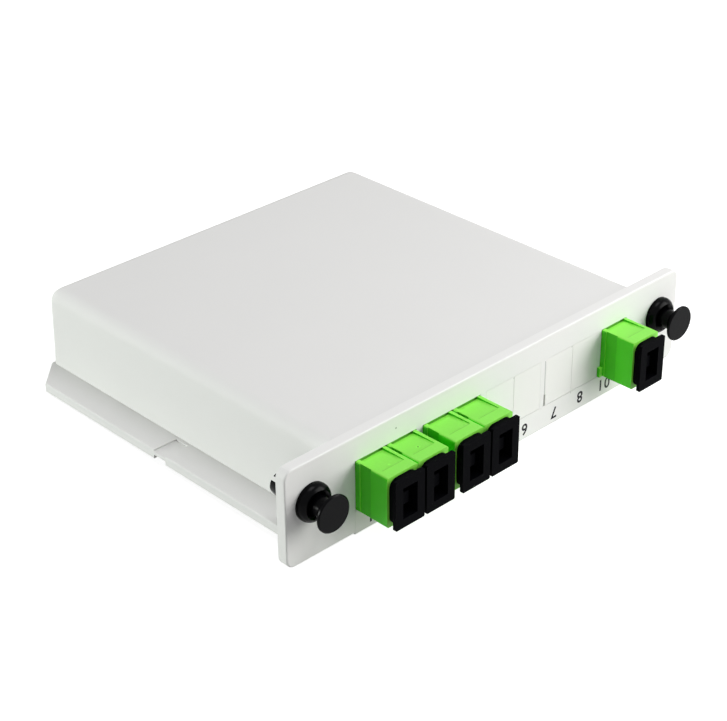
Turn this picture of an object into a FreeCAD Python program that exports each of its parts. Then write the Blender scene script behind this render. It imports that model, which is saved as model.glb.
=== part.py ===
import FreeCAD, Part
import math
import os
from FreeCAD import Vector

# Plug-in fibre splitter card. Millimetres, +Z up, +Y from the front panel towards the back.
# The pieces are made with Y 0 at the back face of the panel and Z 0 at its lower edge.
# They are saved with the origin in the middle of the card's footprint, at its lowest level.
# A name that ends in _y is a distance from the back face of the panel.

# Front panel
ear_w = 13.5
panel_h = 24.5
panel_t = 2.7
panel_corner_r = 2.4
panel_edge_r = 0.4
rivet_inset = 7.3
rivet_z = 14.45

# Housing shell behind the panel
left_room = 6.5
right_room = 6.05
body_drop = 0.3
wall = 2.0
wall_draft = 1.2
top_edge_r = 3.5
back_corner_r = 3.0
boss_wall = 1.5

# Base cover with the two side rails and the front lip
base_top = 3.8
base_t = 2.3
rail_w = 7.4
rail_chamfer = 7.0
rail_edge_r = 0.35
base_short = 0.9
notch_start_y = 45.5
notch_len = 4.1
notch_lower = 1.0
notch_upper = 0.4
notch_inset = 0.8
lip_inset = 6.3
lip_top = 5.8
lip_drop = 0.5
rim_h = 1.5
rim_t = 1.0
rim_front_y = 5.0

# Clearances, and how far a rib or boss is sunk into what carries it
fit_gap = 0.05
slide_gap = 0.05
rim_gap = 0.15
rib_gap = 0.35
embed = 0.2

# Adapters: five equal single ones, four of them in two pairs
port_w = 9.2
port_h = 12.5
port_len = 27.0
port_out = 9.65
port_edge_r = 0.5
port_wall_side = 0.85
port_wall_top = 1.7
pairs = 4
pair_gap = 0.1
web_w = 2.0
input_web = 1.25
ridge_h = 1.1
ridge_t = 1.2
ridge_inset = 0.5
rib_t = 1.5
groove_deep = 0.35
keyway_w = 2.8
keyway_deep = 0.45
keyway_len = 4.8
recess_w = 6.8
recess_len = 6.6
recess_back = 0.35
recess_deep = 0.6
recess_shallow = 0.15
side_relief = 0.3
side_relief_len = 3.4
side_relief_start = 1.25
tab_out = 1.0
tab_t = 0.8
tab_h = 2.5
tab_up = 0.1

# Nick in the web beside the last two windows
nick_w = 0.6
nick_deep = 1.5
nick_h = 3.2

# Sleeve holder and sleeve inside each adapter
divider_t = 1.6
divider_over = 0.2
barrel_wall = 0.65
barrel_len = 12.0
barrel_lip = 0.2
sleeve_wall = 0.32
sleeve_gap = 0.03
sleeve_slit = 0.4
latch_w = 3.0
latch_t = 1.0
latch_len = 7.4
latch_above = 0.3
latch_room = 0.2
hook_len = 1.2
hook_in = 0.25

# Connector on the inner side of each adapter
plug_gap = 0.075
plug_stand_off = 1.9
plug_len = 24.7
plug_edge_r = 0.5
plug_cavity_w = 5.4
plug_cavity_len = 7.5
plug_waist = 0.5
waist_front = 2.5
waist_back = 3.0
ferrule_r = 1.25
ferrule_tip = 0.25
ferrule_tail = 3.0
ferrule_flange_r = 2.1
ferrule_flange_t = 1.15
boot_r = 2.8
boot_tip_r = 1.15
boot_len = 15.0
boot_collar = 2.0
boot_plug_in = 2.9
boot_neck = 0.5

# Dust caps
cap_w = 8.7
cap_h = 12.2
cap_t = 0.9
cap_edge_r = 0.35
shoulder_w = 8.0
shoulder_h = 11.4
shoulder_t = 1.4
shoulder_r = 2.2
stub_gap = 0.15
stub_len = 9.0
stub_edge_r = 0.4
stub_clear = 1.7
cap_recess_w = 4.3
cap_recess_h = 7.7
cap_floor = 0.8
cap_pip_w = 2.0
cap_pip_h = 3.0
cap_pip_below = 1.5

# Blank plugs in the four unused ports
blank_len = 8.0
blank_front = 1.2
blank_wall = 1.0
blank_edge_r = 0.12

# Push rivets
rivet_hole_r = 3.5
collar_gap = 0.04
head_r = 4.55
head_h = 2.3
head_rim = 0.15
head_mouth = 1.0
leg_r = 3.0
leg_len = 7.4
leg_wall = 0.55
leg_slit = 0.9
leg_slit_y = 1.2
leg_taper = 2.1
leg_tip = 0.4
stem_gap = 0.06
stem_tip_y = 3.9
stem_tip = 1.0
knob_r = 4.45
knob_face = 7.1
knob_rim = 0.6
knob_edge = 0.25
flare_h = 2.2

# Splitter module, its holders and the fibres
module_len = 40.0
module_w = 7.0
module_h = 4.0
module_edge_r = 0.4
module_inset = 8.7
module_wall = 0.4
end_cap_over = 2.0
end_cap_out = 1.0
end_cap_wall = 0.8
end_cap_r = 0.5
chip_len = 14.0
chip_w = 4.2
chip_h = 2.4
cradle_apart = 24.0
cradle_len = 3.0
cradle_wall = 1.2
cradle_above = 1.2
fibre_r = 0.45
fibre_play = 0.05
cord_sides = 8
fibre_step = 1.0
bend_step = 4.5
fibre_lead = 1.1
input_bend = 8.6
input_sway_bend = 12.0
input_sway = 7.5
input_gap = 0.15
fibre_run = 47.45
comb_gap = 0.45
comb_t = 1.2
comb_play = 0.1
comb_side = 3.0
comb_above = 1.5

# Cover screws
screw_r = 0.95
screw_head_r = 2.0
screw_head_h = 1.1
screw_len = 9.0
screw_gap = 0.05
screw_play = 0.25
screw_sunk = 0.02
screw_slot_len = 2.4
screw_slot_w = 0.5
screw_slot_deep = 0.6
screw_front_inset = 4.3
screw_front_y = 22.0
screw_back_inset = 7.0
screw_back_room = 5.7

# Sizes that follow from the ones above
body_top = panel_h - body_drop
roof = body_top - wall
base_bottom = base_top - base_t
boss_r = screw_r + boss_wall
wall_lean = math.tan(math.radians(wall_draft))
bore_w = port_w - 2 * port_wall_side
bore_h = port_h - 2 * port_wall_top
port_step = port_w + pair_gap
pair_w = port_w + port_step
body_w = left_room + pairs * pair_w + (pairs - 1) * web_w + input_web + port_w + right_room
panel_w = body_w + 2 * ear_w
rivet_x = panel_w / 2 - rivet_inset
lip_half_w = body_w / 2 - lip_inset
pair_x = [left_room - body_w / 2 + pair_w / 2 + i * (pair_w + web_w) for i in range(pairs)]
port_x = [x + s * port_step / 2 for x in pair_x for s in (-1, 1)]
input_x = body_w / 2 - right_room - port_w / 2
live_x = port_x[:pairs] + [input_x]
blank_x = port_x[pairs:]
port_bottom = lip_top + fit_gap
port_top = port_bottom + port_h
port_z = (port_bottom + port_top) / 2
window_top = port_top + fit_gap
port_front = -panel_t - port_out
port_back = port_front + port_len
mid_y = port_front + port_len / 2
lip_front = -panel_t - fit_gap
rib_y = ridge_t + 2 * fit_gap
sleeve_r = ferrule_r + sleeve_gap + sleeve_wall
barrel_r = sleeve_r + slide_gap + barrel_wall
sleeve_len = barrel_len - 2 * barrel_lip - 2 * slide_gap
latch_z = barrel_r + latch_above
latch_tip = divider_t / 2 + latch_len
plug_w = bore_w - 2 * plug_gap
plug_h = bore_h - 2 * plug_gap
plug_cavity_h = 2 * (latch_z + latch_t + latch_room)
plug_front = mid_y + divider_t / 2 + plug_stand_off
plug_back = plug_front + plug_len
flange_y = plug_front + plug_cavity_len - ferrule_flange_t - fit_gap
boot_neck_r = boot_r - boot_neck
boot_end = plug_back + boot_len
stub_w = bore_w - 2 * stub_gap
stub_h = bore_h - 2 * stub_gap
cap_seat = port_front - fit_gap
cap_face = cap_seat - shoulder_t - cap_t
stub_hollow = mid_y - latch_tip - stub_clear
leg_bore_r = leg_r - leg_wall
stem_r = leg_bore_r - stem_gap
collar_r = rivet_hole_r - collar_gap
fibre_hole_r = fibre_r + fibre_play
module_y = boot_end + fibre_run
side_x = body_w / 2 - wall - wall_lean * (port_z + fibre_r - base_top) - input_gap - fibre_r
module_right = side_x - input_bend - fibre_lead - fit_gap
module_left = module_right - module_len
module_x = (module_left + module_right) / 2
inner_bend = module_left - fit_gap - fibre_lead - live_x[pairs - 1]
body_d = module_y + module_inset
base_back = body_d - base_short
screw_back_y = body_d - screw_back_room


def box(x0, x1, y0, y1, z0, z1):
    return Part.makeBox(x1 - x0, y1 - y0, z1 - z0, Vector(x0, y0, z0))


def centred(x, w, y0, y1, z, h):
    return box(x - w / 2, x + w / 2, y0, y1, z - h / 2, z + h / 2)


def cyl_y(r, x, z, y0, y1):
    return Part.makeCylinder(r, y1 - y0, Vector(x, y0, z), Vector(0, 1, 0))


def cyl_z(r, x, y, z0, z1):
    return Part.makeCylinder(r, z1 - z0, Vector(x, y, z0))


def edges_along(shape, axis, keep=None):
    found = []
    for edge in shape.Edges:
        if len(edge.Vertexes) != 2:
            continue
        a, b = edge.Vertexes[0].Point, edge.Vertexes[1].Point
        d = b - a
        straight = abs(abs(d[axis]) - d.Length) < 1e-6
        if straight and (keep is None or keep((a + b) * 0.5)):
            found.append(edge)
    return found


def edges_at(shape, axis, level):
    # every edge that lies in the plane at this level
    found = []
    for edge in shape.Edges:
        bounds = edge.BoundBox
        low = (bounds.XMin, bounds.YMin, bounds.ZMin)[axis]
        high = (bounds.XMax, bounds.YMax, bounds.ZMax)[axis]
        if abs(low - level) < 1e-4 and abs(high - level) < 1e-4:
            found.append(edge)
    return found


def bar(x, w, y0, y1, z, h, r):
    # a block with its four long edges rounded
    part = centred(x, w, y0, y1, z, h)
    return part.makeFillet(r, edges_along(part, 1))


def revolve_y(profile, x, z):
    # profile: (radius, y), or (radius, y, radius on the way, y on the way) to get there by an arc
    edges = []
    here = Vector(x + profile[-1][0], profile[-1][1], z)
    for item in profile:
        there = Vector(x + item[0], item[1], z)
        if len(item) == 4:
            edges.append(Part.Arc(here, Vector(x + item[2], item[3], z), there).toShape())
        else:
            edges.append(Part.makeLine(here, there))
        here = there
    face = Part.Face(Part.Wire(edges))
    return face.revolve(Vector(x, 0, z), Vector(0, 1, 0), 360)


def many_sided(r, centre, ahead):
    # outline of a cord or boot, square to its way ahead, which is level
    up = Vector(0, 0, 1)
    across = ahead.cross(up)
    across.normalize()
    step = 2 * math.pi / cord_sides
    turns = [(i + 0.5) * step for i in range(cord_sides)]
    ring = [centre + across * (r * math.cos(t)) + up * (r * math.sin(t)) for t in turns]
    return Part.makePolygon(ring + [ring[0]])


def tapered_y(r0, r1, x, z, y0, y1):
    # many-sided length along Y, r0 wide at y0 and r1 wide at y1
    ahead = Vector(0, 1, 0)
    ends = [many_sided(r0, Vector(x, y0, z), ahead), many_sided(r1, Vector(x, y1, z), ahead)]
    return Part.makeLoft(ends, True, True)


def save(shape, name):
    placed = shape.copy()
    placed.translate(Vector(0, -(cap_face + body_d) / 2, lip_drop))
    placed.exportStep("parts/" + name + ".step")


def rounded_panel():
    plate = box(-panel_w / 2, panel_w / 2, -panel_t, 0, 0, panel_h)
    plate = plate.makeFillet(panel_corner_r, edges_along(plate, 1))
    return plate.makeFillet(panel_edge_r, edges_at(plate, 1, -panel_t))


def leaning_block(half, y0, y1, z0, z1, corner_r, edge_r):
    # block with rounded back corners and a rounded upper edge
    # its sides and back lean inwards by the draft, and half and y1 hold level with the base cover's top
    # the wedge is made on its back and then stood up
    low = wall_lean * (z0 - base_top)
    high = wall_lean * (z1 - base_top)
    block = Part.makeWedge(low - half, z0, low - y1, high - y1, high - half,
                           half - low, z1, -y0, -y0, half - high)
    block.rotate(Vector(0, 0, 0), Vector(1, 0, 0), 90)
    tall = (z1 - z0) / 2
    uprights = [e for e in block.Edges if e.BoundBox.ZLength > tall and e.CenterOfMass.y > (y0 + y1) / 2]
    block = block.makeFillet(corner_r, uprights)
    front = edges_at(block, 1, y0)
    top = [e for e in edges_at(block, 2, z1) if not any(e.isSame(f) for f in front)]
    return block.makeFillet(edge_r, top)


def screw_spots():
    spots = []
    for side in (-1, 1):
        spots.append((side * (body_w / 2 - screw_front_inset), screw_front_y))
        spots.append((side * (body_w / 2 - screw_back_inset), screw_back_y))
    return spots


def housing():
    half = body_w / 2
    outer = leaning_block(half, -panel_t / 2, body_d, base_top + fit_gap, body_top, back_corner_r, top_edge_r)
    inner = leaning_block(half - wall, 0, body_d - wall, 0, roof, back_corner_r - wall, top_edge_r - wall)
    body = outer.cut(inner)
    # screw bosses reach from the roof to the base cover
    for x, y in screw_spots():
        boss = cyl_z(boss_r, x, y, base_top + fit_gap, roof + embed)
        body = body.fuse(boss.common(outer))
    # a rib across the roof holds the ridges of the adapters against the panel
    reach = half - wall + embed
    rib = box(-reach, reach, rib_y, rib_y + rib_t, port_top + rib_gap, roof + embed)
    body = body.fuse(rib.common(outer))
    body = body.fuse(rounded_panel())
    return cut_openings(body).removeSplitter()


def cut_openings(body):
    front = -2 * panel_t
    # the lower middle of the panel is left open for the lip of the base cover
    body = body.cut(box(-lip_half_w, lip_half_w, front, 0, -panel_t, lip_top))
    single = port_w + 2 * fit_gap
    windows = [(x, single + port_step) for x in pair_x] + [(input_x, single)]
    for x, w in windows:
        body = body.cut(box(x - w / 2, x + w / 2, front, 0, lip_top - embed, window_top))
    web_x = pair_x[3] - (single + port_step) / 2
    nick_back = nick_deep - panel_t
    body = body.cut(box(web_x - nick_w, web_x + embed, front, nick_back, lip_top - embed, lip_top + nick_h))
    for side in (-1, 1):
        body = body.cut(cyl_y(rivet_hole_r, side * rivet_x, rivet_z, front, panel_t))
    for x, y in screw_spots():
        body = body.cut(cyl_z(screw_r + screw_gap, x, y, 0, base_bottom + screw_len + screw_sunk + embed))
    return body


def base_plate():
    half = body_w / 2 + rail_w
    c = rail_chamfer
    outline = [(-half, fit_gap), (half, fit_gap), (half, base_back - c), (half - c, base_back)]
    outline += [(c - half, base_back), (-half, base_back - c)]
    ring = [Vector(x, y, base_bottom) for x, y in outline]
    plate = Part.Face(Part.makePolygon(ring + [ring[0]])).extrude(Vector(0, 0, base_t))
    rails = [e for e in edges_at(plate, 2, base_top) if abs(e.CenterOfMass.x) > body_w / 2]
    plate = plate.makeFillet(rail_edge_r, rails)
    notch_end = notch_start_y + notch_len
    for side in (-1, 1):
        # the rail is thinner over a short length, from below and a little from above
        x0, x1 = sorted((side * (half + rail_w), side * (body_w / 2 + notch_inset)))
        plate = plate.cut(box(x0, x1, notch_start_y, notch_end, 0, base_bottom + notch_lower))
        plate = plate.cut(box(x0, x1, notch_start_y, notch_end, base_top - notch_upper, base_top + base_t))
    return plate


def cradle(x):
    # a saddle for the steel tube of the splitter, with two upright cheeks
    width = module_w + 2 * slide_gap
    low = base_top - embed
    high = port_z + cradle_above
    saddle = centred(x, cradle_len, module_y - width / 2 - cradle_wall, module_y + width / 2 + cradle_wall,
                     (low + high) / 2, high - low)
    seat = port_z - module_h / 2
    slot = box(x - cradle_len, x + cradle_len, module_y - width / 2, module_y + width / 2, seat, high + seat)
    return saddle.cut(slot)


def comb(slots):
    # an upright rib with a slot for each fibre, just behind the connector boots
    y0 = boot_end + comb_gap
    y1 = y0 + comb_t
    high = port_z + comb_above
    rib = box(slots[0] - comb_side, slots[-1] + comb_side, y0, y1, base_top - embed, high)
    half = fibre_r + comb_play
    for x in slots:
        rib = rib.cut(box(x - half, x + half, y0 - comb_t, y1 + comb_t, port_z - half, high + half))
    return rib


def locating_rim():
    # low rim that fits inside the shell, cut back round the screw bosses
    half = body_w / 2 - wall - rim_gap
    back = body_d - wall - rim_gap
    low = base_top - embed
    high = base_top + rim_h
    outer = box(-half, half, rim_front_y, back, low, high)
    outer = outer.makeFillet(back_corner_r - wall, edges_along(outer, 2, lambda m: m.y > body_d / 2))
    rim = outer.cut(box(rim_t - half, half - rim_t, rim_front_y - rim_t, back - rim_t, 0, high + rim_h))
    for x, y in screw_spots():
        rim = rim.cut(cyl_z(boss_r + rim_gap, x, y, 0, high + rim_h))
    return rim


def base_cover():
    base = base_plate()
    half = lip_half_w - fit_gap
    lip = box(-half, half, -panel_t, fit_gap, -lip_drop, lip_top - fit_gap)
    lower_front = edges_along(lip, 0, lambda m: m.y < -panel_t / 2 and m.z < base_bottom)
    lip = lip.makeFillet(panel_edge_r, lower_front)
    base = base.fuse(lip)
    # a low rib holds the lower ridges of the adapters against the lip
    reach = body_w / 2 - wall - rib_gap
    base = base.fuse(box(-reach, reach, rib_y, rib_y + rib_t, base_top - embed, port_bottom - rib_gap))
    for side in (-1, 1):
        base = base.fuse(cradle(module_x + side * cradle_apart / 2))
    base = base.fuse(comb(live_x[:pairs]))
    base = base.fuse(comb([input_x]))
    base = base.fuse(locating_rim())
    for x, y in screw_spots():
        base = base.cut(cyl_z(screw_r + screw_play, x, y, 0, base_top + base_t))
        spot = Vector(x, y, base_bottom)
        base = base.cut(Part.makeCone(screw_head_r + screw_gap, screw_r + screw_gap, screw_head_h, spot))
    return base.removeSplitter()


def cover_screws():
    parts = []
    z = base_bottom + screw_sunk
    for x, y in screw_spots():
        head = Part.makeCone(screw_head_r, screw_r, screw_head_h, Vector(x, y, z))
        screw = head.fuse(cyl_z(screw_r, x, y, z + screw_head_h / 2, z + screw_len))
        long = screw_slot_len / 2
        short = screw_slot_w / 2
        for a, b in ((long, short), (short, long)):
            screw = screw.cut(box(x - a, x + a, y - b, y + b, 0, z + screw_slot_deep))
        parts.append(screw.removeSplitter())
    return Part.makeCompound(parts)


def ridges(x):
    # the two low ridges that catch behind the panel, one above and one below
    part = centred(x, port_w - 2 * ridge_inset, fit_gap, fit_gap + ridge_t, port_z, port_h + 2 * ridge_h)
    return part.cut(centred(x, port_w, 0, rib_y, port_z, port_h - 2 * embed))


def pocket(x, up):
    # tapered pocket in the upper or the lower face, deepest where it runs in under the panel
    y0 = lip_front - recess_len
    y1 = lip_front + recess_back
    face = port_z + up * port_h / 2
    outline = [(y1, -recess_deep), (y0, -recess_shallow), (y0, embed), (y1, embed)]
    ring = [Vector(x - recess_w / 2, a, face + up * b) for a, b in outline]
    sheet = Part.Face(Part.makePolygon(ring + [ring[0]]))
    return sheet.extrude(Vector(recess_w, 0, 0))


def adapter(x, with_tab):
    body = bar(x, port_w, port_front, port_back, port_z, port_h, port_edge_r)
    body = body.fuse(ridges(x))
    body = body.cut(centred(x, bore_w, port_front - 1, port_back + 1, port_z, bore_h))
    # groove that holds the divider of the sleeve holder
    half = divider_t / 2 + fit_gap
    deep = 2 * groove_deep
    body = body.cut(centred(x, bore_w + deep, mid_y - half, mid_y + half, port_z, bore_h + deep))
    # keyway in one side of the outer bore
    key_x = x + bore_w / 2
    key_end = port_front + keyway_len
    body = body.cut(centred(key_x, 2 * keyway_deep, port_front - 1, key_end, port_z, keyway_w))
    y = lip_front - side_relief_start
    for side in (-1, 1):
        body = body.cut(pocket(x, side))
        # shallow relief on each side near the panel
        edge_x = x + side * port_w / 2
        body = body.cut(centred(edge_x, 2 * side_relief, y - side_relief_len, y, port_z, 2 * port_h))
    if with_tab:
        # small tab at the foot of one side, against the face of the panel
        foot = port_bottom + tab_up
        edge_x = x - port_w / 2
        tab = box(edge_x - tab_out, edge_x + embed, lip_front - tab_t, lip_front, foot, foot + tab_h)
        body = body.fuse(tab)
    return body.removeSplitter()


def latch(x, up, way):
    # springy arm with a hook at its tip, on one side of the divider
    tip = mid_y + way * latch_tip
    low = port_z + up * latch_z
    y0, y1 = sorted((mid_y, tip))
    z0, z1 = sorted((low, low + up * latch_t))
    arm = box(x - latch_w / 2, x + latch_w / 2, y0, y1, z0, z1)
    y0, y1 = sorted((tip, tip - way * hook_len))
    z0, z1 = sorted((low - up * hook_in, low + up * latch_t / 2))
    return arm.fuse(box(x - latch_w / 2, x + latch_w / 2, y0, y1, z0, z1))


def sleeve_holder(x):
    half = divider_t / 2
    over = 2 * divider_over
    part = centred(x, bore_w + over, mid_y - half, mid_y + half, port_z, bore_h + over)
    part = part.fuse(cyl_y(barrel_r, x, port_z, mid_y - barrel_len / 2, mid_y + barrel_len / 2))
    for up in (-1, 1):
        for way in (-1, 1):
            part = part.fuse(latch(x, up, way))
    half = sleeve_len / 2 + slide_gap
    part = part.cut(cyl_y(sleeve_r + slide_gap, x, port_z, mid_y - half, mid_y + half))
    part = part.cut(cyl_y(sleeve_r - sleeve_wall / 2, x, port_z, mid_y - barrel_len, mid_y + barrel_len))
    return part.removeSplitter()


def split_sleeve(x):
    part = cyl_y(sleeve_r, x, port_z, mid_y - sleeve_len / 2, mid_y + sleeve_len / 2)
    part = part.cut(cyl_y(sleeve_r - sleeve_wall, x, port_z, mid_y - sleeve_len, mid_y + sleeve_len))
    slit = centred(x, sleeve_slit, mid_y - sleeve_len, mid_y + sleeve_len, port_z + barrel_r / 2, barrel_r)
    return part.cut(slit)


def ferrule(x):
    # ceramic rod with a chamfered tip, pressed into a flange that rests in the connector
    front = mid_y + slide_gap
    part = cyl_y(ferrule_r, x, port_z, front, flange_y + ferrule_flange_t + ferrule_tail)
    part = part.makeChamfer(ferrule_tip, edges_at(part, 1, front))
    part = part.fuse(cyl_y(ferrule_flange_r, x, port_z, flange_y, flange_y + ferrule_flange_t))
    return part.removeSplitter()


def inner_plug(x):
    part = bar(x, plug_w, plug_front, plug_back, port_z, plug_h, plug_edge_r)
    # grip waist behind the adapter
    y0, y1 = port_back + waist_front, plug_back - waist_back
    waist = centred(x, plug_w + 1, y0, y1, port_z, plug_h + 1)
    waist = waist.cut(centred(x, plug_w - 2 * plug_waist, y0, y1, port_z, plug_h - 2 * plug_waist))
    part = part.cut(waist)
    cavity_end = plug_front + plug_cavity_len
    part = part.cut(centred(x, plug_cavity_w, plug_front - 1, cavity_end, port_z, plug_cavity_h))
    tail_end = cavity_end + ferrule_tail + slide_gap
    part = part.cut(cyl_y(ferrule_r + slide_gap, x, port_z, plug_front, tail_end))
    part = part.cut(cyl_y(boot_neck_r, x, port_z, plug_back - boot_plug_in - slide_gap, plug_back + 1))
    return part.removeSplitter()


def boot(x):
    # tapered rubber boot, plugged into the back of the connector
    neck_r = boot_neck_r - slide_gap
    seat = plug_back + slide_gap
    collar_end = plug_back + boot_collar
    part = tapered_y(neck_r, neck_r, x, port_z, plug_back - boot_plug_in, collar_end)
    part = part.fuse(tapered_y(boot_r, boot_r, x, port_z, seat, collar_end))
    part = part.fuse(tapered_y(boot_r, boot_tip_r, x, port_z, collar_end, boot_end))
    bore = tapered_y(fibre_hole_r, fibre_hole_r, x, port_z, plug_front, boot_end + 1)
    return part.cut(bore).removeSplitter()


def tube_path(points, bends):
    # straight runs joined by arcs: bends holds one radius for each inner corner
    edges = []
    start = Vector(*points[0])
    for i, radius in enumerate(bends):
        corner = Vector(*points[i + 1])
        a = Vector(*points[i]) - corner
        b = Vector(*points[i + 2]) - corner
        a.normalize()
        b.normalize()
        half = a.getAngle(b) / 2
        p0 = corner + a * (radius / math.tan(half))
        p1 = corner + b * (radius / math.tan(half))
        inward = a + b
        inward.normalize()
        middle = corner + inward * (radius / math.sin(half) - radius)
        if (p0 - start).Length > 1e-4:
            edges.append(Part.makeLine(start, p0))
        edges.append(Part.Arc(p0, middle, p1).toShape())
        start = p1
    edges.append(Part.makeLine(start, Vector(*points[-1])))
    return Part.Wire(edges)


def fibre_along(points, bends):
    path = tube_path(points, bends)
    start = Vector(*points[0])
    ring = many_sided(fibre_r, start, Vector(*points[1]) - start)
    return path.makePipeShell([ring], True, False)


def output_fibre(index):
    # the fibres leave the splitter side by side and turn one inside the other
    x = live_x[index]
    y = module_y + ((pairs - 1) / 2 - index) * fibre_step
    points = [(module_left - fit_gap, y, port_z), (x, y, port_z), (x, plug_back, port_z)]
    return fibre_along(points, [inner_bend + (pairs - 1 - index) * bend_step])


def input_fibre():
    # turns forwards beside the wall, then sways back into line with the input connector
    y0 = module_y - input_bend - input_sway
    shift = side_x - input_x
    y1 = y0 - input_sway - shift
    points = [(module_right + fit_gap, module_y, port_z), (side_x, module_y, port_z), (side_x, y0, port_z)]
    points += [(input_x, y1, port_z), (input_x, plug_back, port_z)]
    return fibre_along(points, [input_bend, input_sway_bend, input_sway_bend])


def block_x(x0, x1, w, h):
    # block along X about the axis of the splitter
    return box(x0, x1, module_y - w / 2, module_y + w / 2, port_z - h / 2, port_z + h / 2)


def module_tube():
    part = block_x(module_left, module_right, module_w, module_h)
    part = part.makeFillet(module_edge_r, edges_along(part, 0))
    inner = 2 * module_wall
    return part.cut(block_x(module_left - 1, module_right + 1, module_w - inner, module_h - inner))


def end_cap(side, fibres):
    # rubber cap over one end of the steel tube, with a slot where the fibres leave
    edge = module_left if side < 0 else module_right
    x0, x1 = sorted((edge + side * end_cap_out, edge - side * end_cap_over))
    over = 2 * (fit_gap + end_cap_wall)
    part = block_x(x0, x1, module_w + over, module_h + over)
    part = part.makeFillet(end_cap_r, edges_along(part, 0))
    y0, y1 = sorted((edge + side * fit_gap, edge - side * (end_cap_over + 1)))
    part = part.cut(block_x(y0, y1, module_w + 2 * fit_gap, module_h + 2 * fit_gap))
    slot_w = (fibres - 1) * fibre_step + 2 * fibre_hole_r
    return part.cut(block_x(x0 - 1, x1 + 1, slot_w, 2 * fibre_hole_r)).removeSplitter()


def chip_block():
    # glass block on the floor of the tube, where one path divides into four
    low = port_z - module_h / 2 + module_wall
    return box(module_x - chip_len / 2, module_x + chip_len / 2, module_y - chip_w / 2, module_y + chip_w / 2,
               low, low + chip_h)


def dust_cap(x):
    flange_back = cap_face + cap_t
    part = bar(x, cap_w, cap_face, flange_back, port_z, cap_h, cap_edge_r)
    part = part.fuse(bar(x, shoulder_w, flange_back - embed, cap_seat, port_z, shoulder_h, shoulder_r))
    part = part.fuse(bar(x, stub_w, cap_seat - embed, port_front + stub_len, port_z, stub_h, stub_edge_r))
    part = part.cut(centred(x, plug_cavity_w, stub_hollow, port_front + stub_len + 1, port_z, plug_cavity_h))
    # oblong well in the face with a low pip in the middle
    bottom = stub_hollow - cap_floor
    well = centred(x, cap_recess_w, cap_face - 1, bottom, port_z, cap_recess_h)
    pip = centred(x, cap_pip_w, cap_face + cap_pip_below, bottom + embed, port_z, cap_pip_h)
    return part.cut(well.cut(pip)).removeSplitter()


def blank_plug(x):
    part = bar(x, port_w, -panel_t, blank_len - panel_t, port_z, port_h, blank_edge_r)
    part = part.fuse(ridges(x))
    inner_w = port_w - 2 * blank_wall
    inner_h = port_h - 2 * blank_wall
    return part.cut(centred(x, inner_w, blank_front - panel_t, blank_len, port_z, inner_h)).removeSplitter()


def rivet_sleeve(x):
    # round head on the panel, a collar in its hole and four springy legs behind it
    y = lip_front
    crown = leg_bore_r + head_mouth
    shoulder = y - head_rim
    rise = head_h - head_rim
    s = math.sqrt(0.5)
    profile = [(leg_bore_r, y), (head_r, y), (head_r, shoulder)]
    profile.append((crown, y - head_h, crown + (head_r - crown) * s, shoulder - rise * s))
    profile.append((leg_bore_r, y - head_h + head_mouth))
    head = revolve_y(profile, x, rivet_z)
    profile = [(leg_bore_r, y - embed), (collar_r, y - embed), (collar_r, 0), (leg_r, 0)]
    profile += [(leg_r, leg_len - leg_taper), (leg_r - leg_tip, leg_len), (leg_bore_r, leg_len)]
    legs = revolve_y(profile, x, rivet_z)
    for turn in (45, 135):
        slit = centred(x, 4 * leg_r, leg_slit_y, leg_len + 1, rivet_z, leg_slit)
        slit.rotate(Vector(x, 0, rivet_z), Vector(0, 1, 0), turn)
        legs = legs.cut(slit)
    return head.fuse(legs).removeSplitter()


def rivet_plunger(x):
    # flat knob with a trumpet flare, on a stem that spreads the legs when pushed home
    face = -panel_t - knob_face
    rim = face + knob_rim
    s = math.sqrt(0.5)
    profile = [(0, face), (knob_r - knob_edge, face), (knob_r, face + knob_edge), (knob_r, rim)]
    across = knob_r - stem_r
    profile.append((stem_r, rim + flare_h, knob_r - across * s, rim + flare_h * (1 - s)))
    profile += [(stem_r, stem_tip_y - stem_tip), (stem_r - stem_tip, stem_tip_y), (0, stem_tip_y)]
    return revolve_y(profile, x, rivet_z)


def build():
    os.makedirs("parts", exist_ok=True)
    save(housing(), "housing")
    save(base_cover(), "base_cover")
    save(cover_screws(), "cover_screws")
    names = ["port_1", "port_2", "port_3", "port_4", "port_in"]
    fibres = [output_fibre(i) for i in range(pairs)] + [input_fibre()]
    for name, x, fibre in zip(names, live_x, fibres):
        save(adapter(x, name == "port_in"), name + "_adapter")
        save(sleeve_holder(x), name + "_sleeve_holder")
        save(split_sleeve(x), name + "_split_sleeve")
        save(ferrule(x), name + "_ferrule")
        save(inner_plug(x), name + "_plug")
        save(boot(x), name + "_boot")
        save(dust_cap(x), name + "_dust_cap")
        save(fibre, name + "_fibre")
    for i, x in enumerate(blank_x):
        save(blank_plug(x), "blank_%d" % (i + 5))
    for side, name in ((-1, "left"), (1, "right")):
        save(rivet_sleeve(side * rivet_x), "rivet_sleeve_" + name)
        save(rivet_plunger(side * rivet_x), "rivet_plunger_" + name)
    save(module_tube(), "splitter_tube")
    save(end_cap(-1, pairs), "splitter_end_cap_out")
    save(end_cap(1, 1), "splitter_end_cap_in")
    save(chip_block(), "splitter_chip")


build()
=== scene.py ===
import math
import bpy
from mathutils import Matrix, Vector


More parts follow.
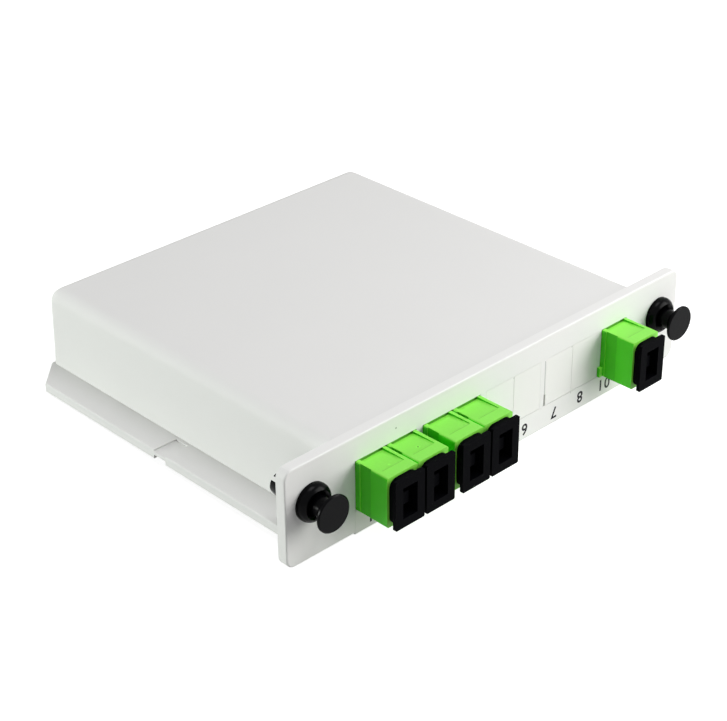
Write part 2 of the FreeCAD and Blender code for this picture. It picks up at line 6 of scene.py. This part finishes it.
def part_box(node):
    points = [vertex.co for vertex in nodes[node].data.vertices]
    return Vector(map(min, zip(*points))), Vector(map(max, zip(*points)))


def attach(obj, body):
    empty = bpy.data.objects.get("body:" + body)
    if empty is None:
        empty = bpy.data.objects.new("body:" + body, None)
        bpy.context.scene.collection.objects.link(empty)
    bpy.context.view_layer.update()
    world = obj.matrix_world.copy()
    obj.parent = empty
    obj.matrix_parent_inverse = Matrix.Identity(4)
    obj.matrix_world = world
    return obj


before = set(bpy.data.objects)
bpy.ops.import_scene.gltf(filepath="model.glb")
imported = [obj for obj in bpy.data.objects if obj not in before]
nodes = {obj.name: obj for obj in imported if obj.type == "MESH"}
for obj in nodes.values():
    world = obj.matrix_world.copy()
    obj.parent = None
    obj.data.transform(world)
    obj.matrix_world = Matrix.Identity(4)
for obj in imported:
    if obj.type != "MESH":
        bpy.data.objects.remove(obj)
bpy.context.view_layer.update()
MM = 0.001
WHITE = (1.0, 1.0, 1.0)
OPAQUE = (1.0,)


# Camera: fitted to the edges of the panel, the housing and the adapters in the photograph

EYE = Vector((-273.147, -287.416, 235.350)) * MM
RIGHT = Vector((0.7160387, -0.6980300, -0.0065383))
DOWN = Vector((-0.3503753, -0.3512820, -0.8682385))
AHEAD = Vector((0.6037598, 0.6239832, -0.4961040))
FOCAL_PX = 1872.1
CENTRE_PX = (375.31, 353.27)
WIDTH_PX, HEIGHT_PX = 727, 721
SENSOR_WIDTH = 36.0
CLIP_START, CLIP_END = 0.01, 20.0


def make_camera():
    data = bpy.data.cameras.new("camera")
    data.sensor_width = SENSOR_WIDTH
    data.lens = FOCAL_PX * SENSOR_WIDTH / WIDTH_PX
    data.shift_x = (WIDTH_PX / 2 - CENTRE_PX[0]) / WIDTH_PX
    data.shift_y = (CENTRE_PX[1] - HEIGHT_PX / 2) / WIDTH_PX
    data.clip_start = CLIP_START
    data.clip_end = CLIP_END
    camera = bpy.data.objects.new("camera", data)
    turn = Matrix((RIGHT, -DOWN, -AHEAD)).transposed()
    camera.matrix_world = Matrix.Translation(EYE) @ turn.to_4x4()
    bpy.context.scene.collection.objects.link(camera)
    bpy.context.scene.camera = camera


# Shader trees

NOISE_SPAN = (0.3, 0.7)  # most of a noise texture's values lie between these
MIX_FACTOR, MIX_A, MIX_B, MIX_RESULT = 0, 6, 7, 2  # sockets of a Mix node that is set to colour


class ShaderTree:
    """Short calls to build the node tree of a material or a world."""

    def __init__(self, owner, output="ShaderNodeOutputMaterial"):
        self.owner = owner
        owner.use_nodes = True
        self.tree = owner.node_tree
        self.tree.nodes.clear()
        self.out = self.add(output)
        self.place = self.add("ShaderNodeTexCoord").outputs["Object"]

    def add(self, kind, inputs=None, **settings):
        node = self.tree.nodes.new(kind)
        for key, value in settings.items():
            setattr(node, key, value)
        for key, value in (inputs or {}).items():
            if isinstance(value, bpy.types.NodeSocket):
                self.tree.links.new(value, node.inputs[key])
            else:
                node.inputs[key].default_value = value
        return node

    def finish(self, shader):
        self.tree.links.new(shader, self.out.inputs["Surface"])
        return self.owner

    def principled(self, **inputs):
        named = {key.replace("_", " "): value for key, value in inputs.items()}
        return self.finish(self.add("ShaderNodeBsdfPrincipled", named).outputs[0])

    def seen_or_hidden(self, seen, hidden):
        """One shader for what the camera, gloss and glass see, one for the light that falls on the card."""
        path = self.add("ShaderNodeLightPath").outputs
        mirrored = self.math("MAXIMUM", path["Is Glossy Ray"], path["Is Transmission Ray"])
        either = self.math("MAXIMUM", path["Is Camera Ray"], mirrored)
        return self.finish(self.add("ShaderNodeMixShader", {0: either, 1: hidden, 2: seen}).outputs[0])

    def noise(self, scale, detail=2.0, rough=0.5):
        settings = {"Vector": self.place, "Scale": scale, "Detail": detail, "Roughness": rough}
        return self.add("ShaderNodeTexNoise", settings).outputs["Fac"]

    def tones(self, noise, dark, light):
        """A colour that follows a noise from the dark tone to the light one."""
        node = self.add("ShaderNodeValToRGB", {"Fac": noise})
        for stop, position, colour in zip(node.color_ramp.elements, NOISE_SPAN, (dark, light)):
            stop.position = position
            stop.color = colour + OPAQUE
        return node.outputs["Color"]

    def spread(self, noise, low, high):
        """A value that follows a noise from low to high."""
        settings = {"Value": noise, "From Min": NOISE_SPAN[0], "From Max": NOISE_SPAN[1],
                    "To Min": low, "To Max": high}
        return self.add("ShaderNodeMapRange", settings).outputs["Result"]

    def bump(self, height, strength, distance):
        settings = {"Height": height, "Strength": strength, "Distance": distance}
        return self.add("ShaderNodeBump", settings).outputs["Normal"]

    def mix(self, factor, a, b):
        """Colour a where the factor is 0, and b where it is 1."""
        a, b = (c if isinstance(c, bpy.types.NodeSocket) else c + OPAQUE for c in (a, b))
        inputs = {MIX_FACTOR: factor, MIX_A: a, MIX_B: b}
        return self.add("ShaderNodeMix", inputs, data_type="RGBA").outputs[MIX_RESULT]

    def math(self, operation, a, b=0.0):
        return self.add("ShaderNodeMath", {0: a, 1: b}, operation=operation).outputs[0]

    def axes(self):
        """The three coordinates in millimetres."""
        scaled = self.add("ShaderNodeVectorMath", {0: self.place, "Scale": 1 / MM}, operation="SCALE")
        return self.add("ShaderNodeSeparateXYZ", {0: scaled.outputs[0]}).outputs

    # Masks: 1 where the condition holds, 0 elsewhere

    def below(self, value, limit):
        return self.math("LESS_THAN", value, limit)

    def above(self, value, limit):
        return self.math("GREATER_THAN", value, limit)

    def within(self, value, middle, half):
        return self.below(self.math("ABSOLUTE", self.math("SUBTRACT", value, middle)), half)

    def near(self, spot, radius):
        """The spot and the radius are given in millimetres."""
        centre = tuple(v * MM for v in spot)
        apart = self.add("ShaderNodeVectorMath", {0: self.place, 1: centre}, operation="DISTANCE")
        return self.below(apart.outputs["Value"], radius * MM)

    def all_of(self, first, *others):
        for other in others:
            first = self.math("MULTIPLY", first, other)
        return first


def tint(colour, k):
    """The colour times one factor, or times one factor for each channel."""
    factors = k if isinstance(k, tuple) else (k, k, k)
    return tuple(min(1.0, c * f) for c, f in zip(colour, factors))


# Materials: noise scales are per metre, and bump depths are in metres

SLOW_SCALE, SLOW_DETAIL = 45.0, 3.0
FINE_DETAIL, FINE_ROUGH = 2.0, 0.6
GRAIN_SHARE = 0.5
GRAIN_STRENGTH = 0.35
ROUGH_SWING = 0.04
SPECK_SCALE, SPECK_RADIUS, SPECK_TONE = 150.0, 0.026, 0.55

LINE_SCALE = (40.0, 4000.0, 4000.0)
LINE_TONES = (0.9, 1.08)
LINE_STRENGTH, LINE_DEPTH = 0.2, 0.00001
LINE_SWING = 0.06

GLASS_SCALE = 300.0
GLASS_TONES = ((0.86, 0.92, 0.92), (0.93, 0.97, 0.97))
GLASS_ROUGH = (0.03, 0.08)
GLASS_INDEX = 1.46


def moulded(name, colour, rough, gloss=0.5, grain=2600.0, depth=0.00002, vary=0.03, specks=0.0, marks=None):
    """Moulded plastic: fine grain, slow colour variation, and specks, marks and painted light and shade
    where asked for.

    marks takes the tree and returns pairs of a mask and what it multiplies the colour by.
    """
    tree = ShaderTree(bpy.data.materials.new(name))
    slow = tree.noise(SLOW_SCALE, SLOW_DETAIL)
    fine = tree.noise(grain, FINE_DETAIL, FINE_ROUGH)
    dark, light = tint(colour, 1 - vary), tint(colour, 1 + vary)
    base = tree.tones(slow, dark, light)
    base = tree.mix(GRAIN_SHARE, base, tree.tones(fine, dark, light))
    if specks:
        cell = tree.add("ShaderNodeTexVoronoi", {"Vector": tree.place, "Scale": SPECK_SCALE})
        lot = tree.add("ShaderNodeSeparateColor", {"Color": cell.outputs["Color"]}).outputs["Red"]
        rare = tree.above(lot, 1.0 - specks)
        close = tree.below(cell.outputs["Distance"], SPECK_RADIUS)
        base = tree.mix(tree.all_of(rare, close), base, tint(colour, SPECK_TONE))
    for mask, k in (marks(tree) if marks else ()):
        base = tree.mix(mask, base, tint(colour, k))
    return tree.principled(Base_Color=base,
                           Roughness=tree.spread(slow, rough - ROUGH_SWING, rough + ROUGH_SWING),
                           Specular_IOR_Level=gloss, Normal=tree.bump(fine, GRAIN_STRENGTH, depth))


def brushed(name, colour, rough):
    """Drawn metal with fine lines along X."""
    tree = ShaderTree(bpy.data.materials.new(name))
    lines = tree.add("ShaderNodeMapping", {"Vector": tree.place, "Scale": LINE_SCALE})
    settings = {"Vector": lines.outputs[0], "Scale": 1.0, "Detail": 2.0}
    streak = tree.add("ShaderNodeTexNoise", settings).outputs["Fac"]
    dark, light = (tint(colour, k) for k in LINE_TONES)
    return tree.principled(Base_Color=tree.tones(streak, dark, light), Metallic=1.0,
                           Roughness=tree.spread(streak, rough - LINE_SWING, rough + LINE_SWING),
                           Normal=tree.bump(streak, LINE_STRENGTH, LINE_DEPTH))


def clear_glass(name):
    tree = ShaderTree(bpy.data.materials.new(name))
    cloud = tree.noise(GLASS_SCALE)
    return tree.principled(Base_Color=tree.tones(cloud, *GLASS_TONES),
                           Roughness=tree.spread(cloud, *GLASS_ROUGH),
                           Transmission_Weight=1.0, IOR=GLASS_INDEX)


# Small marks, painted shade and painted highlights seen in the photograph, in millimetres. A spot is its
# centre, its radius and its tone, and a tone is what the colour is multiplied by.

PANEL_FRONT, PANEL_BACK = -45.2, -42.5
FACE_DEPTH = 0.05
# painted light: the tone that makes the panel's upper face lighter
PANEL_TOP, PANEL_TOP_LIGHT_TONE = 24.85, 1.06
# painted shade in the narrow gap between two blanks
GAP_X, GAP_Z = 16.1, 13.9
GAP_HALF_WIDE, GAP_HALF_LONG, GAP_SHADE_TONE = 0.11, 4.6, 0.5
FLECK = ((-32.76, PANEL_FRONT, 21.85), 0.22, 0.45)
# painted shade: small dark spots in three corners of the blanks
CORNER_RADIUS, CORNER_SHADE_TONE = 0.2, 0.72
BLANK_CORNERS = ((5.15, 18.5), (25.4, 18.65), (25.75, 5.95))
SHELL_SPOTS = (FLECK,) + tuple(((x, PANEL_FRONT, z), CORNER_RADIUS, CORNER_SHADE_TONE) for x, z in BLANK_CORNERS)

# painted shade on the adapters' sides: a deeper green than the upper faces, darker behind the body's step
# and towards the panel
SIDE_TURN = 0.7
SIDE_SHADE_TONE = (0.34, 1.0, 0.19)
BODY_STEP, STEP_SHADE_TONE = -49.7, 0.84
FADE_LENGTH, FADE_SHADE_TONE = 1.5, 0.68
ADAPTER_TOP = 18.6
# painted shade along the end of each adapter's pocket
POCKET_END, POCKET_HALF_WIDE = -51.8, 3.1
POCKET_LINE_HALF, POCKET_SHADE_TONE = 0.15, 0.74
# painted shade in the corner where each adapter meets the panel
ROOT_DEPTH, ROOT_SHADE_TONE = 0.09, 0.5
# painted highlights on a gate mark and a dimple in the adapters' upper faces, with painted shade in the
# middle of the gate mark
GATE = (-31.1, -50.2, ADAPTER_TOP)
DIMPLE = (-40.4, -50.8, ADAPTER_TOP)
ADAPTER_LIGHT_AND_SHADE_SPOTS = ((GATE, 0.55, 1.10), (GATE, 0.2, 0.35), (DIMPLE, 0.35, 1.12))


def spot_marks(tree, spots):
    return [(tree.near(centre, radius), tone) for centre, radius, tone in spots]


def shell_marks_and_shading(tree):
    x, y, z = tree.axes()
    # the fleck, and painted shade in three corners of the blanks
    marks = spot_marks(tree, SHELL_SPOTS)
    # painted shade: a dark line along the narrow gap between the middle two of the open blanks
    front = tree.below(y, PANEL_FRONT + FACE_DEPTH)
    gap = tree.all_of(front, tree.within(x, GAP_X, GAP_HALF_WIDE), tree.within(z, GAP_Z, GAP_HALF_LONG))
    marks.append((gap, GAP_SHADE_TONE))
    # painted light: the panel's upper face is a little lighter than the housing behind it
    marks.append((tree.all_of(tree.below(y, PANEL_BACK), tree.above(z, PANEL_TOP)), PANEL_TOP_LIGHT_TONE))
    return marks


def adapter_painted_shading(tree):
    x, y, z = tree.axes()
    normal = tree.add("ShaderNodeTexCoord").outputs["Normal"]
    across = tree.add("ShaderNodeSeparateXYZ", {0: normal}).outputs["X"]
    side = tree.above(tree.math("ABSOLUTE", across), SIDE_TURN)
    # painted shade: the sides are a deeper green than the upper faces, darker still behind the step in the
    # body and towards the panel
    marks = [(side, SIDE_SHADE_TONE), (tree.all_of(side, tree.above(y, BODY_STEP)), tint(SIDE_SHADE_TONE, STEP_SHADE_TONE))]
    fade = {"Value": y, "From Min": BODY_STEP - FADE_LENGTH, "From Max": PANEL_FRONT}
    inward = tree.add("ShaderNodeMapRange", fade).outputs[0]
    marks.append((tree.all_of(side, inward), tint(SIDE_SHADE_TONE, FADE_SHADE_TONE)))
    # painted shade: the faint dark line where the pocket in each adapter's upper face ends
    end = tree.all_of(tree.above(z, ADAPTER_TOP), tree.within(y, POCKET_END, POCKET_LINE_HALF))
    for name in nodes:
        if name.endswith("_dust_cap"):
            low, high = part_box(name)
            port_x = (low[0] + high[0]) / 2 / MM
            marks.append((tree.all_of(end, tree.within(x, port_x, POCKET_HALF_WIDE)), POCKET_SHADE_TONE))
    # painted shade: the dark root where the adapter meets the panel
    marks.append((tree.above(y, PANEL_FRONT - ROOT_DEPTH), ROOT_SHADE_TONE))
    # painted highlights and painted shade at the gate mark and the dimple
    return marks + spot_marks(tree, ADAPTER_LIGHT_AND_SHADE_SPOTS)


def make_materials():
    return {
        "shell": moulded("shell_plastic", (0.80, 0.80, 0.785), 0.62, gloss=0.14, vary=0.012, specks=0.008,
                         marks=shell_marks_and_shading),
        "blank": moulded("blank_plastic", (0.81, 0.81, 0.785), 0.58, gloss=0.14, vary=0.010,
                         marks=shell_marks_and_shading),
        "green": moulded("adapter_plastic", (0.262, 0.84, 0.084), 0.30, gloss=0.2, grain=1800.0,
                         marks=adapter_painted_shading),
        "holder": moulded("holder_plastic", (0.80, 0.82, 0.78), 0.45),
        "plug": moulded("plug_plastic", (0.10, 0.45, 0.16), 0.35),
        "boot": moulded("boot_rubber", (0.84, 0.84, 0.82), 0.6),
        "ceramic": moulded("sleeve_ceramic", (0.90, 0.90, 0.88), 0.15, depth=0.000003),
        "fibre": moulded("fibre_jacket", (0.86, 0.84, 0.70), 0.4),
        "cap": moulded("cap_plastic", (0.0013, 0.0014, 0.0021), 0.46, gloss=0.012, grain=2200.0,
                       depth=0.00003, vary=0.2),
        "rivet": moulded("rivet_plastic", (0.0009, 0.0010, 0.0014), 0.23, gloss=0.055, grain=1500.0,
                         depth=0.00001, vary=0.2),
        "tube": brushed("tube_steel", (0.62, 0.62, 0.63), 0.35),
        "screw": brushed("screw_steel", (0.58, 0.58, 0.60), 0.38),
        "glass": clear_glass("chip_glass"),
        "ink": moulded("print_ink", (0.012, 0.012, 0.014), 0.6, gloss=0.2, vary=0.2),
    }


# The word in a node's name that tells its material

MATERIAL_OF = {
    "housing": "shell", "base_cover": "shell", "cover_screws": "screw", "adapter": "green",
    "sleeve_holder": "holder", "split_sleeve": "ceramic", "ferrule": "ceramic", "plug": "plug",
    "boot": "boot", "fibre": "fibre", "dust_cap": "cap", "blank": "blank", "rivet": "rivet",
    "tube": "tube", "end_cap": "boot", "chip": "glass",
}


def paint(materials):
    for name, obj in nodes.items():
        key = next(key for word, key in MATERIAL_OF.items() if word in name)
        for slot in obj.material_slots:
            slot.material = materials[key]


# Printed digits on the lip of the base cover, upside down as on the card: text, x and z in millimetres

DIGITS = (("1", -40.5, 3.0), ("2", -31.1, 3.0), ("3", -19.9, 3.0), ("4", -10.6, 3.0), ("5", -0.1, 3.0),
          ("6", 9.5, 3.0), ("7", 19.9, 3.1), ("8", 29.3, 3.45), ("1", 37.0, 3.4), ("0", 39.5, 3.25))
DIGIT_SIZE = 4.2
DIGIT_BOLD = 0.075
INK_HALF_THICK = 0.01
INK_STAND_OFF = 0.012


def print_digit(name, text, x, z, material):
    curve = bpy.data.curves.new(name, "FONT")
    curve.body = text
    curve.size = DIGIT_SIZE * MM
    curve.align_x = "CENTER"
    curve.align_y = "CENTER"
    curve.extrude = INK_HALF_THICK * MM
    curve.offset = DIGIT_BOLD * MM
    curve.materials.append(material)
    obj = bpy.data.objects.new(name, curve)
    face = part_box("base_cover")[0][1]
    stand = Matrix.Rotation(math.pi / 2, 4, "X") @ Matrix.Rotation(math.pi, 4, "Z")
    obj.matrix_world = Matrix.Translation((x * MM, face - INK_STAND_OFF * MM, z * MM)) @ stand
    bpy.context.scene.collection.objects.link(obj)
    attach(obj, "card")


def print_digits(material):
    for number, (text, x, z) in enumerate(DIGITS, 1):
        print_digit("print_%d" % number, text, x, z, material)


# Floor: the card rests on the lip and on the rear edge of the base, so the ground leans a little in its
# frame. The feet are y and z in millimetres, and so is the drop; the floor's half width is in metres.

LIP_FOOT = (-45.2, 0.0)
REAR_FOOT = (56.3, 2.0)
FLOOR_DROP = 0.15
FLOOR_HALF = 6.0
PAPER_SCALE = 3.0
PAPER_TONES = ((0.54, 0.54, 0.54), (0.56, 0.56, 0.56))
PAPER_GLOW = 0.85


def make_floor():
    mesh = bpy.data.meshes.new("floor")
    corners = [(x * FLOOR_HALF, y * FLOOR_HALF, 0) for x, y in ((-1, -1), (1, -1), (1, 1), (-1, 1))]
    mesh.from_pydata(corners, [], [(0, 1, 2, 3)])
    floor = bpy.data.objects.new("floor", mesh)
    lean = math.atan2(REAR_FOOT[1] - LIP_FOOT[1], REAR_FOOT[0] - LIP_FOOT[0])
    foot = (0, LIP_FOOT[0] * MM, -FLOOR_DROP * MM)
    floor.matrix_world = Matrix.Translation(foot) @ Matrix.Rotation(lean, 4, "X")
    bpy.context.scene.collection.objects.link(floor)
    tree = ShaderTree(bpy.data.materials.new("floor_white"))
    paper = tree.tones(tree.noise(PAPER_SCALE), *PAPER_TONES)
    matte = tree.add("ShaderNodeBsdfDiffuse", {"Color": paper}).outputs[0]
    glow = tree.add("ShaderNodeEmission", {"Color": WHITE + OPAQUE, "Strength": PAPER_GLOW}).outputs[0]
    bright = tree.add("ShaderNodeAddShader", {0: matte, 1: glow}).outputs[0]
    mesh.materials.append(tree.seen_or_hidden(bright, matte))


# Light: each softbox has its name, place, aim, size, power in watts and colour

WORLD_SEEN, WORLD_LIGHT = 1.0, 0.12
CARD = (0, 0, 0.01)
SOFTBOXES = (
    ("rear_left", (-0.85, 0.50, 0.15), CARD, (0.4, 0.28), 6.7, (0.955, 1.0, 0.955)),
    ("above", (0.05, -0.12, 0.70), CARD, (0.35, 0.35), 2.33, (0.985, 0.97, 1.0)),
    ("rear_right", (0.72, 0.75, 0.60), CARD, (1.0, 1.0), 1.0, WHITE),
    ("front_right", (0.31, -0.39, 0.18), (0.02, -0.045, 0.01), (0.36, 0.36), 2.48, (1.0, 1.0, 0.98)),
)


def softbox(name, place, aim, size, watts, colour):
    data = bpy.data.lights.new(name, "AREA")
    data.shape = "RECTANGLE"
    data.size, data.size_y = size
    data.energy = watts
    data.color = colour
    lamp = bpy.data.objects.new(name, data)
    lamp.location = place
    lamp.rotation_euler = (Vector(aim) - Vector(place)).to_track_quat("-Z", "Y").to_euler()
    bpy.context.scene.collection.objects.link(lamp)


def make_light():
    world = bpy.data.worlds.new("world")
    tree = ShaderTree(world, "ShaderNodeOutputWorld")
    shown, falling = (tree.add("ShaderNodeBackground", {"Color": WHITE + OPAQUE, "Strength": k}).outputs[0]
                      for k in (WORLD_SEEN, WORLD_LIGHT))
    tree.seen_or_hidden(shown, falling)
    bpy.context.scene.world = world
    for box in SOFTBOXES:
        softbox(*box)


def main():
    make_camera()
    materials = make_materials()
    paint(materials)
    print_digits(materials["ink"])
    make_floor()
    make_light()
    bpy.context.scene.view_settings.view_transform = "Standard"


main()
